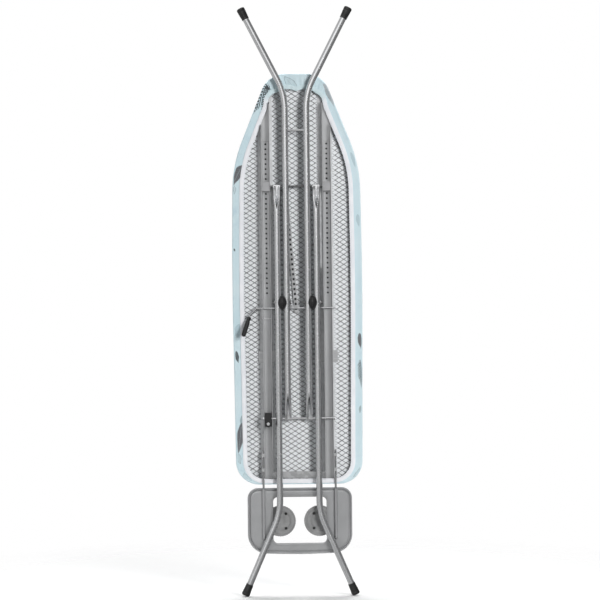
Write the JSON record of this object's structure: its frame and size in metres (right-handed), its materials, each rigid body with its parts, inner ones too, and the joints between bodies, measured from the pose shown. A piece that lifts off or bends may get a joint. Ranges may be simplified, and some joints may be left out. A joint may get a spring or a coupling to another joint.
{
  "type": "folding ironing board",
  "caption": "Folding ironing board with expanded-steel deck, padded cotton cover, crossed tube legs, sliding height adjustment and an iron rest at the tail.",
  "frame": {"origin": "on the surface that the folded board stands on, under the middle of its box", "axes": "+Z from the rear feet up along the board to its nose and the front feet; +Y is the way the ironing face looks; the legs lie in front of the underside, towards -Y; +X across the board"},
  "size_m": [0.3932, 0.055, 1.7744],
  "materials": {
    "galvanised_deck": "zinc-coated expanded steel",
    "zinc_steel": "zinc-plated sheet steel",
    "silver_tube": "silver powder-coated tube, satin gloss",
    "grey_rail": "silver-grey painted channel",
    "bright_rod": "bright plated rod",
    "foam": "pale grey polyester felt",
    "printed_cotton": "pale blue printed cotton",
    "white_binding": "white cotton tape",
    "elastic": "woven elastic",
    "grey_tray": "grey powder coat",
    "grey_silicone": "heat-proof silicone, matt",
    "black_plastic": "moulded, satin",
    "black_rubber": "moulded, slightly glossy",
    "grey_plastic": "moulded acetal",
    "fastener": "bright zinc plate"
  },
  "bodies": {
    "board": {"mesh_panel": "galvanised_deck", "panel_rim": "zinc_steel", "rail_left": "grey_rail", "rail_right": "grey_rail", "rail_end_plates": "zinc_steel", "rail_saddles": "zinc_steel", "tail_cross_channel": "zinc_steel", "hinge_rod": "bright_rod", "hinge_rod_caps": "fastener", "foam_pad": "foam", "cotton_cover": "printed_cotton", "cover_hem": "white_binding", "cover_elastic": "elastic", "iron_rest_tray": "grey_tray", "iron_rest_wires": "bright_rod", "wire_clips": "zinc_steel", "iron_pad_left": "grey_silicone", "iron_pad_right": "grey_silicone", "iron_pad_plugs": "black_rubber", "release_spring": "fastener", "transport_lock_base": "black_plastic", "transport_lock_rivet": "fastener"},
    "front_legs": {"front_leg_left": "silver_tube", "front_leg_right": "silver_tube", "front_crossbar": "bright_rod", "front_foot_left": "black_rubber", "front_foot_right": "black_rubber", "front_pivot_saddles": "black_plastic", "pivot_bolts": "fastener", "pivot_washers": "fastener", "pivot_nuts": "fastener"},
    "rear_legs": {"rear_leg_left": "silver_tube", "rear_leg_right": "silver_tube", "slide_rod": "bright_rod", "rear_foot_left": "black_rubber", "rear_foot_right": "black_rubber", "rear_pivot_saddles": "black_plastic"},
    "height_slider": {"slider_shoe_left": "grey_plastic", "slider_shoe_right": "grey_plastic", "height_rack": "zinc_steel"},
    "release_lever": {"release_rod": "bright_rod", "release_catch": "zinc_steel", "release_clip": "fastener", "lever_grip": "black_plastic"},
    "transport_lock": {"transport_lock_arm": "black_plastic"}
  },
  "joints": [
    {"name": "front_leg_hinge", "type": "hinge", "parent": "board", "child": "front_legs", "pos_m": [0, 0.0075, 0.534], "axis": [1, 0, 0], "range_deg": [0, 46]},
    {"name": "cross_pivot", "type": "hinge", "parent": "front_legs", "child": "rear_legs", "pos_m": [0, -0.0075, 0.884], "axis": [1, 0, 0], "range_deg": [-92, 0]},
    {"name": "slide_rod_pivot", "type": "hinge", "parent": "rear_legs", "child": "height_slider", "pos_m": [0, 0.0075, 1.234], "axis": [1, 0, 0], "range_deg": [0, 46]},
    {"name": "height_lever", "type": "hinge", "parent": "board", "child": "release_lever", "pos_m": [0, 0.01, 0.867], "axis": [1, 0, 0], "range_deg": [0, 10], "stiffness_Nm_per_rad": 0.5, "springref_deg": -14.32},
    {"name": "transport_lock_turn", "type": "hinge", "parent": "board", "child": "transport_lock", "pos_m": [-0.092, -0.0195, 0.52], "axis": [0, 1, 0], "range_deg": [0, 90]}
  ],
  "couplings": [
    {"joint": "cross_pivot", "follows": "front_leg_hinge", "ratio": -2},
    {"joint": "slide_rod_pivot", "follows": "front_leg_hinge", "ratio": 1}
  ]
}
